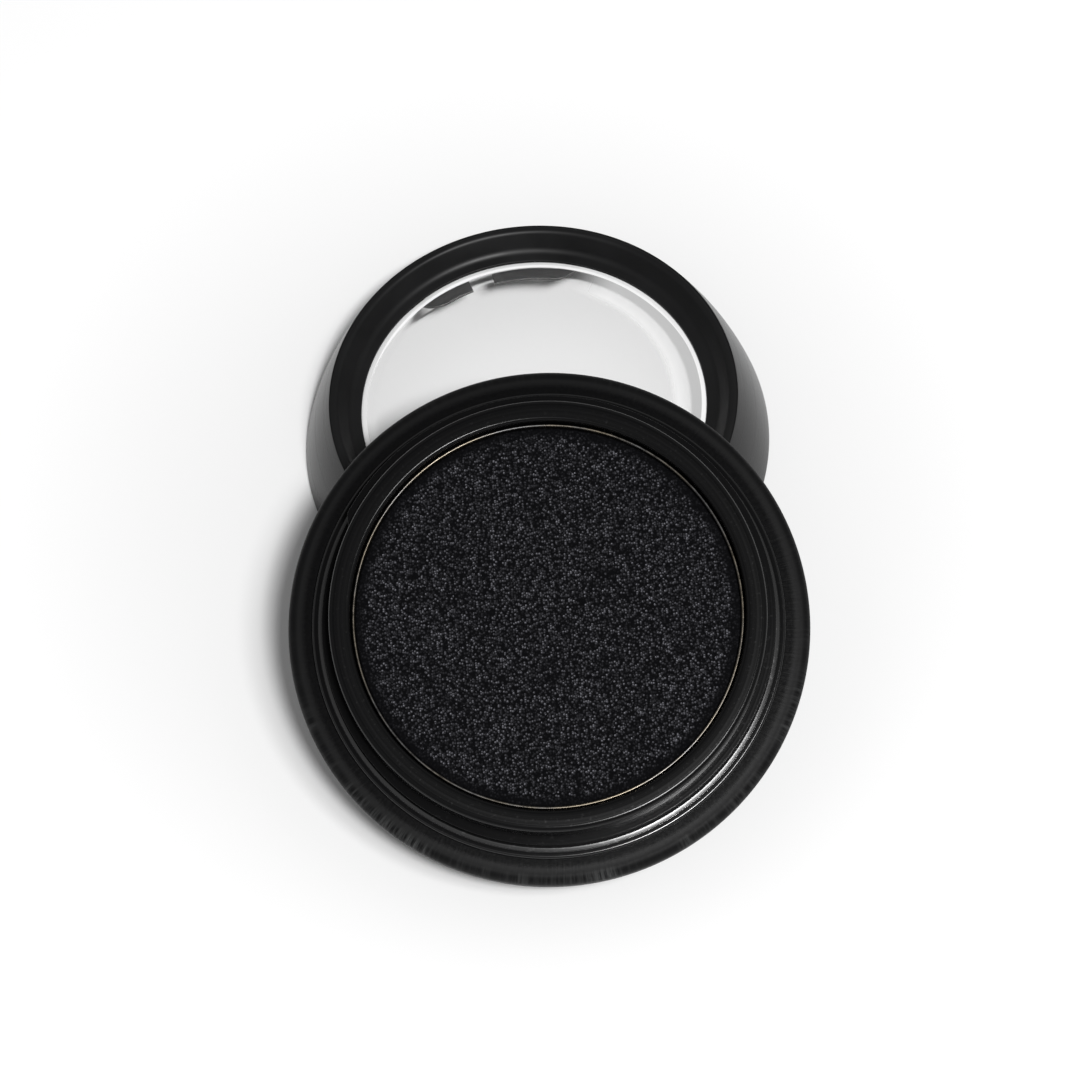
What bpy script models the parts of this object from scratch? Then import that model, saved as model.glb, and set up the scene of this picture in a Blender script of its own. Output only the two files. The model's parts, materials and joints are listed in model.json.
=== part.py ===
"""A round single-shade eyeshadow pot with its screw lid taken off.

Units are metres and +Z is up. The lid lies flat on the table, window up. The pot stands on the front
edge of its foot and leans back against the lid's front edge, so the powder faces forwards and up.
The origin is on the table, at the centre of the assembly's bounding box.
"""

import math

import bmesh
import bpy
from mathutils import Vector

MM = 0.001

# Fits between pieces
SEAT_GAP = 0.15 * MM
LEAN_GAP = 0.1 * MM

# Lid, measured from the table up
LID_RIM_RADIUS = 16.75 * MM
LID_TOP_RADIUS = 14.38 * MM
LID_HEIGHT = 6.28 * MM
LID_SIDE_BULGE = 0.22 * MM
LID_CREST_RADIUS = 14.23 * MM
LID_CREST_HEIGHT = 6.69 * MM
LID_CREST_ROUND = 0.45 * MM
LID_RIM_ROUND = 0.20 * MM
LID_MOUTH_RADIUS = 15.80 * MM
LID_MOUTH_DEPTH = 0.50 * MM
LID_BORE_RADIUS = 15.40 * MM
LID_BORE_DEPTH = 3.30 * MM
BORE_SHOULDER_HEIGHT = 0.25 * MM
NECK_RELIEF_RADIUS = 14.90 * MM
BEZEL_FOOT_RADIUS = 13.05 * MM
BEZEL_FOOT_HEIGHT = 5.05 * MM
LIP_RADIUS = 12.27 * MM
LIP_HEIGHT = 4.93 * MM
LIP_THICKNESS = 0.23 * MM
WINDOW_THICKNESS = 0.60 * MM
WINDOW_FLANGE_THICKNESS = 0.35 * MM
WINDOW_STEP_WIDTH = 0.60 * MM
WINDOW_CHAMFER_WIDTH = 0.30 * MM
WINDOW_CHAMFER_DEPTH = 0.18 * MM

# Split ring that holds the window in the lid; its two ends bend inwards into arms
RETAINER_POCKET_RADIUS = 14.30 * MM
RETAINER_BOTTOM = 3.80 * MM
RETAINER_THICKNESS = 0.25 * MM
RETAINER_WIDTH = 0.95 * MM
RETAINER_SPLIT_DEG = (100.0, 108.5)
ARM_INNER_RADIUS = 11.15 * MM
ARM_WIDTH = 0.90 * MM
ARM_REACH_DEG = (22.0, 11.0)
ARM_BEND_DEG = 16.0
RETAINER_STEP_DEG = 5.0

# Pot, measured along its own axis from the circle where its flange is widest
FLANGE_RADIUS = 17.50 * MM
FLANGE_TOP = 0.70 * MM
FLANGE_EDGE_ROUND = 0.68 * MM
FOOT_RADIUS = 16.45 * MM
FOOT_DEPTH = 5.00 * MM
FOOT_EDGE_ROUND = 0.35 * MM
POT_SIDE_BULGE = 0.25 * MM
BASE_FLOOR_TOP = -3.80 * MM
INSERT_LEDGE_RADIUS = 13.90 * MM
LEDGE_ROUND = 0.30 * MM
NECK_RADIUS = 14.50 * MM
NECK_TOP = 4.45 * MM
NECK_OUTER_ROUND = 0.35 * MM
NECK_INNER_ROUND = 0.20 * MM
SHOULDER_RADIUS = 15.60 * MM
SHOULDER_THICKNESS = 0.25 * MM
WELL_RADIUS = 13.26 * MM
WELL_ROUND = 0.30 * MM
INSERT_FLOOR_THICKNESS = 1.12 * MM
PAN_RIM_TOP = 3.97 * MM
PAN_RIM_RADIUS = 12.91 * MM
PAN_HEIGHT = 3.90 * MM
PAN_WALL = 0.20 * MM
PAN_BEAD_HEIGHT = 0.35 * MM
PAN_BEAD_OVERHANG = 0.07 * MM
PAN_BEAD_INNER_ROUND = 0.08 * MM
PAN_BEAD_OUTER_ROUND = 0.12 * MM
PAN_FOOT_ROUND = 0.45 * MM
PAN_FLOOR_ROUND = 0.30 * MM
POWDER_EDGE_ROUND = 0.15 * MM
POWDER_BELOW_RIM = 0.30 * MM
ADHESIVE_RADIUS = 9.00 * MM
ADHESIVE_THICKNESS = 0.20 * MM
LABEL_RADIUS = 13.50 * MM
LABEL_THICKNESS = 0.20 * MM

# Right-hand single-start screw thread: rounded ridges on the neck and inside the lid
THREAD_PITCH = 1.60 * MM
THREAD_START_DEG = 151.0
THREAD_STEP_DEG = 7.5
THREAD_END_SIZES = (0.5, 0.75)
NECK_RIDGE_SIZE = 0.42 * MM
NECK_RIDGE_CREST = 15.22 * MM
NECK_RIDGE_TOP = 3.50 * MM
NECK_RIDGE_SWEEP_DEG = 400.0
LID_RIDGE_SIZE = 0.38 * MM
LID_RIDGE_CREST = 14.92 * MM
LID_RIDGE_LOWEST = 0.95 * MM
LID_RIDGE_SWEEP_DEG = 300.0

# How the pot lies against the lid
POT_TILT = math.radians(17.6)
LID_SIDE_SHIFT = 0.49 * MM

SEGMENTS = 48
SMALL_ROUND = 0.10 * MM
MERGE_DISTANCE = 1e-6
SMOOTH_ANGLE = math.radians(35)


# ---------------------------------------------------------------- outlines

def rounded(corners, steps=2):
    """The outline through (radius, height, fillet) corners, with each fillet drawn as an arc."""
    outline = []
    for index, (radius, height, fillet) in enumerate(corners):
        corner = Vector((radius, height))
        if fillet == 0:
            outline.append(corner)
            continue
        back = (Vector(corners[index - 1][:2]) - corner).normalized()
        ahead = (Vector(corners[(index + 1) % len(corners)][:2]) - corner).normalized()
        half_angle = back.angle(ahead) / 2
        centre = corner + (back + ahead).normalized() * fillet / math.sin(half_angle)
        start = corner + back * fillet / math.tan(half_angle) - centre
        end = corner + ahead * fillet / math.tan(half_angle) - centre
        turn = start.angle_signed(end)
        for step in range(steps + 1):
            angle = -turn * step / steps
            spoke_r = start.x * math.cos(angle) - start.y * math.sin(angle)
            spoke_z = start.x * math.sin(angle) + start.y * math.cos(angle)
            outline.append(centre + Vector((spoke_r, spoke_z)))
    return outline


def bulging(top, bottom, bulge, steps=4):
    """Corners between two ends of a side wall that swells outwards by bulge at its middle."""
    corners = []
    for step in range(1, steps):
        share = step / steps
        swell = 4 * share * (1 - share) * bulge
        radius = top[0] + (bottom[0] - top[0]) * share + swell
        height = top[1] + (bottom[1] - top[1]) * share
        corners.append((radius, height, 0))
    return corners


def lid_outline():
    crest = (LID_CREST_RADIUS, LID_CREST_HEIGHT)
    rim_edge = (LID_RIM_RADIUS, 0)
    return rounded([
        (*crest, LID_CREST_ROUND),
        *bulging(crest, rim_edge, LID_SIDE_BULGE),
        (*rim_edge, LID_RIM_ROUND),
        (LID_MOUTH_RADIUS, 0, SMALL_ROUND),
        (LID_MOUTH_RADIUS, LID_MOUTH_DEPTH, 0),
        (LID_BORE_RADIUS, LID_MOUTH_DEPTH, SMALL_ROUND),
        (LID_BORE_RADIUS, LID_BORE_DEPTH, 0),
        (NECK_RELIEF_RADIUS, LID_BORE_DEPTH + BORE_SHOULDER_HEIGHT, 0),
        (NECK_RELIEF_RADIUS, RETAINER_BOTTOM, 0),
        (RETAINER_POCKET_RADIUS, RETAINER_BOTTOM, 0),
        (RETAINER_POCKET_RADIUS, LIP_HEIGHT - LIP_THICKNESS, 0),
        (LIP_RADIUS, LIP_HEIGHT - LIP_THICKNESS, 0),
        (LIP_RADIUS, LIP_HEIGHT, 0),
        (BEZEL_FOOT_RADIUS, BEZEL_FOOT_HEIGHT, SMALL_ROUND),
    ])


def window_outline():
    boss_radius = LIP_RADIUS - SEAT_GAP
    flange_radius = RETAINER_POCKET_RADIUS - SEAT_GAP
    flange_top = LIP_HEIGHT - LIP_THICKNESS - SEAT_GAP
    flange_bottom = flange_top - WINDOW_FLANGE_THICKNESS
    recess_radius = boss_radius - WINDOW_STEP_WIDTH
    return rounded([
        (0, LIP_HEIGHT, 0),
        (boss_radius - WINDOW_CHAMFER_WIDTH, LIP_HEIGHT, 0),
        (boss_radius, LIP_HEIGHT - WINDOW_CHAMFER_DEPTH, 0),
        (boss_radius, flange_top, 0),
        (flange_radius, flange_top, SMALL_ROUND),
        (flange_radius, flange_bottom, SMALL_ROUND),
        (recess_radius, flange_bottom, 0),
        (recess_radius, LIP_HEIGHT - WINDOW_THICKNESS, 0),
        (0, LIP_HEIGHT - WINDOW_THICKNESS, 0),
    ])


def eased(share):
    share = min(1, max(0, share))
    return share * share * (3 - 2 * share)


def retainer_stations():
    """(angle, inner radius, outer radius) along the split ring, from one end clockwise to the other."""
    body_outer = RETAINER_POCKET_RADIUS - SEAT_GAP
    first, last = RETAINER_SPLIT_DEG
    sweep = 360 - (last - first)
    count = round(sweep / RETAINER_STEP_DEG)
    stations = []
    for index in range(count + 1):
        along = sweep * index / count
        bent_first = eased((along - ARM_REACH_DEG[0]) / ARM_BEND_DEG)
        bent_last = eased((sweep - along - ARM_REACH_DEG[1]) / ARM_BEND_DEG)
        out = min(bent_first, bent_last)
        inner = ARM_INNER_RADIUS + (body_outer - RETAINER_WIDTH - ARM_INNER_RADIUS) * out
        width = ARM_WIDTH + (RETAINER_WIDTH - ARM_WIDTH) * out
        stations.append((math.radians(first - along), inner, inner + width))
    return stations


def insert_floor_top():
    return PAN_RIM_TOP - PAN_HEIGHT - ADHESIVE_THICKNESS - 2 * SEAT_GAP


def insert_floor_bottom():
    return insert_floor_top() - INSERT_FLOOR_THICKNESS


def base_outline():
    bore = NECK_RADIUS + SEAT_GAP
    ledge = insert_floor_bottom() - SEAT_GAP
    widest = (FLANGE_RADIUS, 0)
    foot = (FOOT_RADIUS, -FOOT_DEPTH)
    recess = LABEL_RADIUS + SEAT_GAP
    recess_roof = -FOOT_DEPTH + LABEL_THICKNESS + SEAT_GAP
    return rounded([
        (0, BASE_FLOOR_TOP, 0),
        (INSERT_LEDGE_RADIUS, BASE_FLOOR_TOP, LEDGE_ROUND),
        (INSERT_LEDGE_RADIUS, ledge, 0),
        (bore, ledge, 0),
        (bore, FLANGE_TOP, SMALL_ROUND),
        (FLANGE_RADIUS, FLANGE_TOP, FLANGE_EDGE_ROUND),
        (*widest, 0),
        *bulging(widest, foot, POT_SIDE_BULGE),
        (*foot, FOOT_EDGE_ROUND),
        (recess, -FOOT_DEPTH, 0),
        (recess, recess_roof, 0),
        (0, recess_roof, 0),
    ], steps=3)


def neck_outline():
    shoulder_bottom = FLANGE_TOP + SEAT_GAP
    shoulder_top = shoulder_bottom + SHOULDER_THICKNESS
    return rounded([
        (0, insert_floor_top(), 0),
        (WELL_RADIUS, insert_floor_top(), WELL_ROUND),
        (WELL_RADIUS, NECK_TOP, NECK_INNER_ROUND),
        (NECK_RADIUS, NECK_TOP, NECK_OUTER_ROUND),
        (NECK_RADIUS, shoulder_top, 0),
        (SHOULDER_RADIUS, shoulder_top, SMALL_ROUND),
        (SHOULDER_RADIUS, shoulder_bottom, 0),
        (NECK_RADIUS, shoulder_bottom, 0),
        (NECK_RADIUS, insert_floor_bottom(), WELL_ROUND),
        (0, insert_floor_bottom(), 0),
    ])


def pan_inner_radius():
    return PAN_RIM_RADIUS - PAN_WALL - PAN_BEAD_OVERHANG


def pan_outline():
    wall_outer = pan_inner_radius() + PAN_WALL
    bottom = PAN_RIM_TOP - PAN_HEIGHT
    bead_bottom = PAN_RIM_TOP - PAN_BEAD_HEIGHT
    return rounded([
        (0, bottom + PAN_WALL, 0),
        (pan_inner_radius(), bottom + PAN_WALL, PAN_FLOOR_ROUND),
        (pan_inner_radius(), PAN_RIM_TOP, PAN_BEAD_INNER_ROUND),
        (PAN_RIM_RADIUS, PAN_RIM_TOP, PAN_BEAD_OUTER_ROUND),
        (PAN_RIM_RADIUS, bead_bottom, 0),
        (wall_outer, bead_bottom - PAN_BEAD_OVERHANG, 0),
        (wall_outer, bottom, PAN_FOOT_ROUND),
        (0, bottom, 0),
    ])


def powder_outline():
    radius = pan_inner_radius() - SEAT_GAP
    top = PAN_RIM_TOP - POWDER_BELOW_RIM
    bottom = PAN_RIM_TOP - PAN_HEIGHT + PAN_WALL + SEAT_GAP
    return rounded([
        (0, top, 0),
        (radius, top, POWDER_EDGE_ROUND),
        (radius, bottom, PAN_FLOOR_ROUND),
        (0, bottom, 0),
    ])


def adhesive_outline():
    top = PAN_RIM_TOP - PAN_HEIGHT - SEAT_GAP
    return disc_outline(ADHESIVE_RADIUS, top, ADHESIVE_THICKNESS)


def label_outline():
    return disc_outline(LABEL_RADIUS, -FOOT_DEPTH + LABEL_THICKNESS, LABEL_THICKNESS)


def disc_outline(radius, top, thickness):
    return rounded([(0, top, 0), (radius, top, 0), (radius, top - thickness, 0), (0, top - thickness, 0)])


# ---------------------------------------------------------------- building

def clear_scene():
    for leftover in list(bpy.data.objects):
        bpy.data.objects.remove(leftover, do_unlink=True)


def new_collection(name):
    collection = bpy.data.collections.new(name)
    bpy.context.scene.collection.children.link(collection)
    return collection


def new_material(name, color, roughness, metallic=0.0, alpha=1.0):
    material = bpy.data.materials.new(name)
    material.use_nodes = True
    material.diffuse_color = (*color, alpha)
    shader = material.node_tree.nodes["Principled BSDF"]
    shader.inputs["Base Color"].default_value = (*color, 1.0)
    shader.inputs["Roughness"].default_value = roughness
    shader.inputs["Metallic"].default_value = metallic
    shader.inputs["Alpha"].default_value = alpha
    return material


def new_empty(name, collection, location, tilt=0.0, parent=None):
    empty = bpy.data.objects.new(name, None)
    empty.empty_display_size = 5 * MM
    empty.location = location
    empty.rotation_euler = (tilt, 0, 0)
    empty.parent = parent
    collection.objects.link(empty)
    return empty


def turned(name, outline, parent, material, collection, solid=True):
    """A turned piece. A solid one starts and ends its outline on the axis, and a ring's is a loop."""
    points = [(point.x, 0, point.y) for point in outline]
    edges = [(index, index + 1) for index in range(len(points) - 1)]
    if not solid:
        edges.append((len(points) - 1, 0))
    mesh = bpy.data.meshes.new(name)
    mesh.from_pydata(points, edges, [])
    piece = bpy.data.objects.new(name, mesh)
    piece.data.materials.append(material)
    piece.parent = parent
    collection.objects.link(piece)
    screw = piece.modifiers.new("turn", "SCREW")
    screw.axis = "Z"
    screw.angle = math.tau
    screw.steps = SEGMENTS
    screw.render_steps = SEGMENTS
    screw.use_merge_vertices = True
    screw.merge_threshold = MERGE_DISTANCE
    return piece


def split_ring(name, stations, bottom, top, parent, material, collection):
    """A flat open ring of even thickness through (angle, inner radius, outer radius) stations."""
    body = bmesh.new()
    sections = []
    for angle, inner, outer in stations:
        corners = ((inner, bottom), (outer, bottom), (outer, top), (inner, top))
        sections.append([
            body.verts.new((radius * math.cos(angle), radius * math.sin(angle), height))
            for radius, height in corners
        ])
    for before, after in zip(sections, sections[1:]):
        for side in range(4):
            ahead = (side + 1) % 4
            body.faces.new((before[side], before[ahead], after[ahead], after[side]))
    body.faces.new(sections[0])
    body.faces.new(sections[-1])
    bmesh.ops.recalc_face_normals(body, faces=body.faces)
    mesh = bpy.data.meshes.new(name)
    body.to_mesh(mesh)
    body.free()
    ring = bpy.data.objects.new(name, mesh)
    ring.data.materials.append(material)
    ring.parent = parent
    collection.objects.link(ring)
    return ring


def thread_ridge(name, centre_radius, size, end_deg, end_height, sweep_deg, parent, collection):
    """A rounded helical ridge that climbs anticlockwise to end_height at the angle end_deg."""
    count = round(sweep_deg / THREAD_STEP_DEG) + 1
    curve = bpy.data.curves.new(name, "CURVE")
    curve.dimensions = "3D"
    curve.bevel_depth = size
    curve.bevel_resolution = 2
    curve.use_fill_caps = True
    curve.twist_mode = "Z_UP"
    spline = curve.splines.new("POLY")
    spline.points.add(count - 1)
    for index, point in enumerate(spline.points):
        from_end = sweep_deg * (1 - index / (count - 1))
        angle = math.radians(end_deg - from_end)
        height = end_height - THREAD_PITCH * from_end / 360
        point.co = (centre_radius * math.cos(angle), centre_radius * math.sin(angle), height, 1)
        from_nearest_end = min(index, count - 1 - index)
        point.radius = THREAD_END_SIZES[from_nearest_end] if from_nearest_end < len(THREAD_END_SIZES) else 1
    tube = bpy.data.objects.new(name, curve)
    collection.objects.link(tube)
    bpy.context.view_layer.update()
    depsgraph = bpy.context.evaluated_depsgraph_get()
    mesh = bpy.data.meshes.new_from_object(tube.evaluated_get(depsgraph))
    welded = bmesh.new()
    welded.from_mesh(mesh)
    bmesh.ops.remove_doubles(welded, verts=welded.verts, dist=MERGE_DISTANCE)
    bmesh.ops.recalc_face_normals(welded, faces=welded.faces)
    welded.to_mesh(mesh)
    welded.free()
    bpy.data.objects.remove(tube, do_unlink=True)
    ridge = bpy.data.objects.new(name, mesh)
    ridge.parent = parent
    ridge.hide_render = True
    ridge.display_type = "WIRE"
    collection.objects.link(ridge)
    return ridge


def join(piece, addition):
    union = piece.modifiers.new(addition.name, "BOOLEAN")
    union.operation = "UNION"
    union.solver = "EXACT"
    union.object = addition


def shade(piece):
    """Fixes the modifiers' result as the piece's mesh, smooth except across its real corners."""
    bpy.context.view_layer.update()
    depsgraph = bpy.context.evaluated_depsgraph_get()
    mesh = bpy.data.meshes.new_from_object(piece.evaluated_get(depsgraph))
    piece.modifiers.clear()
    piece.data = mesh
    mesh.shade_smooth()
    mesh.set_sharp_from_angle(angle=SMOOTH_ANGLE)


# ---------------------------------------------------------------- where the two halves lie

def pot_centre_height():
    """The height of the pot's centre when the tilted foot's lowest point is on the table."""
    drops = [point.x * math.sin(POT_TILT) - point.y * math.cos(POT_TILT) for point in base_outline()]
    return max(drops)


def pot_centre_behind_lid_axis(centre_height):
    """Y of the pot's centre from the lid's axis, with the foot's plane just clear of the lid's front edge."""
    foot_plane = -FOOT_DEPTH - LEAN_GAP
    rise = math.cos(POT_TILT) * (centre_height - LID_HEIGHT)
    return -LID_TOP_RADIUS + (foot_plane + rise) / math.sin(POT_TILT)


def footprint_middle(pot_y):
    """Y of the middle of the whole footprint, from the lid's axis."""
    reaches = [point.x * math.cos(POT_TILT) + point.y * math.sin(POT_TILT) for point in base_outline()]
    front = pot_y - max(reaches)
    back = max(point.x for point in lid_outline())
    return (front + back) / 2


# ---------------------------------------------------------------- the assembly

def build_lid(parent, collection, tools):
    black = new_material("lid_satin_black", (0.022, 0.022, 0.024), 0.42)
    shell = turned("lid_shell", lid_outline(), parent, black, collection, solid=False)
    closed_lift = FLANGE_TOP
    end_height = LID_RIDGE_LOWEST + THREAD_PITCH * LID_RIDGE_SWEEP_DEG / 360
    below_neck_ridge = NECK_RIDGE_TOP - closed_lift - THREAD_PITCH / 2 - end_height
    end_deg = THREAD_START_DEG - 360 * below_neck_ridge / THREAD_PITCH
    centre = LID_RIDGE_CREST + LID_RIDGE_SIZE
    ridge = thread_ridge(
        "lid_thread", centre, LID_RIDGE_SIZE, end_deg, end_height, LID_RIDGE_SWEEP_DEG, parent, tools
    )
    join(shell, ridge)
    shade(shell)
    clear = new_material("window_clear", (0.92, 0.93, 0.94), 0.05, alpha=0.2)
    shade(turned("lid_window", window_outline(), parent, clear, collection))
    ring = new_material("retainer_black", (0.03, 0.03, 0.03), 0.5)
    top = RETAINER_BOTTOM + RETAINER_THICKNESS
    shade(split_ring("window_retainer", retainer_stations(), RETAINER_BOTTOM, top, parent, ring, collection))


def build_pot(parent, collection, tools):
    matte = new_material("base_matte_black", (0.014, 0.014, 0.015), 0.55)
    shade(turned("base_shell", base_outline(), parent, matte, collection))
    gloss = new_material("neck_gloss_black", (0.010, 0.010, 0.011), 0.16)
    neck = turned("neck_insert", neck_outline(), parent, gloss, collection)
    centre = NECK_RIDGE_CREST - NECK_RIDGE_SIZE
    ridge = thread_ridge(
        "neck_thread", centre, NECK_RIDGE_SIZE, THREAD_START_DEG, NECK_RIDGE_TOP, NECK_RIDGE_SWEEP_DEG,
        parent, tools
    )
    join(neck, ridge)
    shade(neck)
    glue = new_material("adhesive_clear_grey", (0.55, 0.54, 0.50), 0.6)
    shade(turned("pan_adhesive", adhesive_outline(), parent, glue, collection))
    paper = new_material("label_matte_black", (0.03, 0.03, 0.03), 0.7)
    shade(turned("base_label", label_outline(), parent, paper, collection))


def build_pan(parent, collection):
    metal = new_material("pan_aluminium", (0.62, 0.60, 0.56), 0.28, metallic=1.0)
    shade(turned("pan", pan_outline(), parent, metal, collection))
    pigment = new_material("powder_shimmer_black", (0.012, 0.012, 0.014), 0.75)
    shade(turned("powder_cake", powder_outline(), parent, pigment, collection))


def main():
    clear_scene()
    collection = new_collection("eyeshadow_pot")
    tools = new_collection("eyeshadow_pot_tools")
    pot_z = pot_centre_height()
    pot_y = pot_centre_behind_lid_axis(pot_z)
    middle = footprint_middle(pot_y)
    lid_axis = new_empty("lid_axis", collection, (LID_SIDE_SHIFT, -middle, 0))
    pot_axis = new_empty("pot_axis", collection, (0, pot_y - middle, pot_z), tilt=POT_TILT)
    pan_axis = new_empty("pan_axis", collection, (0, 0, 0), parent=pot_axis)
    build_lid(lid_axis, collection, tools)
    build_pot(pot_axis, collection, tools)
    build_pan(pan_axis, collection)


main()
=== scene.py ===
import json
import math

import bpy
from mathutils import Matrix, Vector, noise


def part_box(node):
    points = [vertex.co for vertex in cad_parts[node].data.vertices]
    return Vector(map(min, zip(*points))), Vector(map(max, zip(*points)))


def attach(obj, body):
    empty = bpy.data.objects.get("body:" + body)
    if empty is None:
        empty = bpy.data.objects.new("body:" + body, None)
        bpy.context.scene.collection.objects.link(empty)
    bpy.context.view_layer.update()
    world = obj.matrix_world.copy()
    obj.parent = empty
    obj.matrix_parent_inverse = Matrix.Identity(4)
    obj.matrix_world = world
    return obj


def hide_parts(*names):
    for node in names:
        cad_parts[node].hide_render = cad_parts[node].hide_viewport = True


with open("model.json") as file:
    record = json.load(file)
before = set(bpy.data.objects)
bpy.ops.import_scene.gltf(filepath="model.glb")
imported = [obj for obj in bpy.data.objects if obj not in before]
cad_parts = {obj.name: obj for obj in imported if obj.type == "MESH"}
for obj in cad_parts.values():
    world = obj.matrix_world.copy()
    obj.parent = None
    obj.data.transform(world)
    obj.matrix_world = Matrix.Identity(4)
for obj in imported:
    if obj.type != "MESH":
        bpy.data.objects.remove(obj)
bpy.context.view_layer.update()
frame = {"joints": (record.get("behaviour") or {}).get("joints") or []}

MM = 0.001

# Lid, measured from the table up
LID_RIM_RADIUS = 16.75 * MM
LID_RIM_ROUND = 0.20 * MM
LID_SIDE_BULGE = 0.22 * MM
LID_CREST_RADIUS = 14.23 * MM
LID_CREST_HEIGHT = 6.69 * MM
LID_CREST_ROUND = 0.45 * MM
LID_MOUTH_RADIUS = 15.80 * MM
LID_MOUTH_DEPTH = 0.50 * MM
LID_BORE_RADIUS = 15.40 * MM
LID_BORE_DEPTH = 3.30 * MM
LID_BORE_STEPS = 44
NECK_RELIEF_RADIUS = 14.90 * MM
NECK_RELIEF_HEIGHT = 3.55 * MM
BEZEL_FOOT_RADIUS = 13.05 * MM
BEZEL_FOOT_HEIGHT = 5.05 * MM
BEZEL_FOOT_ROUND = 0.80 * MM
LIP_RADIUS = 12.27 * MM
LIP_HEIGHT = 4.93 * MM
LIP_BOTTOM = 4.70 * MM
POCKET_RADIUS = 14.30 * MM
WINDOW_BOSS_RADIUS = 12.24 * MM
WINDOW_FLANGE_RADIUS = 14.25 * MM
WINDOW_FLANGE_TOP = 4.66 * MM
WINDOW_FLANGE_BOTTOM = 4.20 * MM
WINDOW_BOTTOM = 4.33 * MM
WINDOW_RECESS_RADIUS = 11.52 * MM
WINDOW_SLOPE_WIDTH = 0.90 * MM
WINDOW_SLOPE_STEPS = 12
WINDOW_CHAMFER_WIDTH = 0.34 * MM
WINDOW_CHAMFER_DEPTH = 0.18 * MM

# Split ring under the window; its two ends bend inwards into arms
RETAINER_BOTTOM = 3.80 * MM
RETAINER_TOP = 4.05 * MM
RETAINER_OUTER_RADIUS = 14.15 * MM
RETAINER_WIDTH = 0.95 * MM
RETAINER_SPLIT_DEG = (100.0, 108.5)
RETAINER_STEPS = 360
ARM_INNER_RADIUS = 11.15 * MM
ARM_WIDTH = 0.90 * MM
ARM_REACH_DEG = (22.0, 11.0)
ARM_BEND_DEG = 16.0

# Pot, measured along its own axis from the circle where its flange is widest
FLANGE_RADIUS = 17.50 * MM
FLANGE_TOP = 0.70 * MM
FLANGE_EDGE_ROUND = 0.68 * MM
FOOT_RADIUS = 16.45 * MM
FOOT_DEPTH = 5.00 * MM
FOOT_EDGE_ROUND = 0.35 * MM
POT_SIDE_BULGE = 0.25 * MM
BASE_BORE_RADIUS = 14.55 * MM
BASE_BORE_ROUND = 0.12 * MM
BASE_LEDGE_HEIGHT = -1.60 * MM
BASE_FLOOR_TOP = -3.80 * MM
INSERT_LEDGE_RADIUS = 13.90 * MM
RECESS_RADIUS = 13.60 * MM
RECESS_ROOF = -4.78 * MM
NECK_RADIUS = 14.50 * MM
NECK_TOP = 4.45 * MM
NECK_OUTER_ROUND = 0.35 * MM
NECK_INNER_ROUND = 0.25 * MM
SHOULDER_RADIUS = 15.85 * MM
SHOULDER_ROUND = 0.20 * MM
SHOULDER_STEP_RADIUS = 15.38 * MM
SHOULDER_STEP_TOP = 1.22 * MM
SHOULDER_BEVEL_WIDTH = 0.22 * MM
SHOULDER_BEVEL_SLOPE = 0.21
SHOULDER_TOP = 1.10 * MM
SHOULDER_BOTTOM = 0.85 * MM
WELL_RADIUS = 13.08 * MM
INSERT_FLOOR_TOP = -0.43 * MM
INSERT_FLOOR_BOTTOM = -1.55 * MM
INSERT_FOOT_ROUND = 0.20 * MM
PAN_RIM_TOP = 3.97 * MM
PAN_RIM_RADIUS = 12.96 * MM
PAN_RIM_HEIGHT = 0.32 * MM
PAN_RIM_UNDERCUT = 0.08 * MM
PAN_INNER_RADIUS = 12.78 * MM
PAN_OUTER_RADIUS = 12.90 * MM
PAN_BOTTOM = 0.07 * MM
PAN_WALL = 0.20 * MM
PAN_FOOT_ROUND = 0.45 * MM
POWDER_TOP = 3.67 * MM
POWDER_GAP = 0.02 * MM
POWDER_EDGE_DROP = 0.04 * MM
POWDER_EDGE_ROUND = 0.18 * MM
POWDER_FOOT_ROUND = 0.25 * MM
POWDER_RINGS = 40
POWDER_WAVE_HEIGHT = 0.012 * MM
POWDER_WAVES_PER_METRE = 700
ADHESIVE_RADIUS = 9.00 * MM
ADHESIVE_TOP = -0.08 * MM
ADHESIVE_BOTTOM = -0.28 * MM
LABEL_RADIUS = 13.50 * MM
LABEL_THICKNESS = 0.20 * MM

# Right-hand single-start thread
THREAD_PITCH = 1.60 * MM
NECK_RIDGE_START_DEG = 151.0
NECK_RIDGE_TOP = 3.50 * MM
NECK_RIDGE_HEIGHT = 0.60 * MM
NECK_RIDGE_ROOT_RADIUS = 14.40 * MM
NECK_RIDGE_FACE = 0.20 * MM
NECK_RIDGE_SWEEP_DEG = 400.0
NECK_RIDGE_TAPERS_DEG = (5.0, 25.0)
NECK_RIDGE_END_SHARE = 0.04
NECK_RIDGE_STEPS = 480
LID_RIDGE_END_DEG = 214.75
LID_RIDGE_TOP = 2.28 * MM
LID_RIDGE_HEIGHT = 0.48 * MM
LID_RIDGE_HALF_WIDTH = 0.46 * MM
LID_RIDGE_FLANK_SHARE = 0.6
LID_RIDGE_SWEEP_DEG = 300.0
LID_RIDGE_TAPERS_DEG = (2.5, 14.0)

# Fillets that several pieces share, from the sharpest to the softest
HAIRLINE = 0.02 * MM
KEEN = 0.04 * MM
CRISP = 0.05 * MM
NEAT = 0.06 * MM
FINE = 0.08 * MM
SOFT = 0.10 * MM
FLOOR_ROUND = 0.30 * MM

ON_AXIS = 1e-7
SAME_RADIUS = 1e-6
SEGMENTS = 288
FILLET_STEPS = 8
DISC_FILLET_STEPS = 4
BULGE_STEPS = 14
CREASE_DEG = 38


# ---------------------------------------------------------------- where the bodies are

def middle(node):
    low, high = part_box(node)
    return (low + high) / 2


def joint_axis(name):
    for joint in frame["joints"]:
        if joint["name"] == name:
            return Vector(joint["axis"]).normalized()
    raise KeyError(name)


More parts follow.
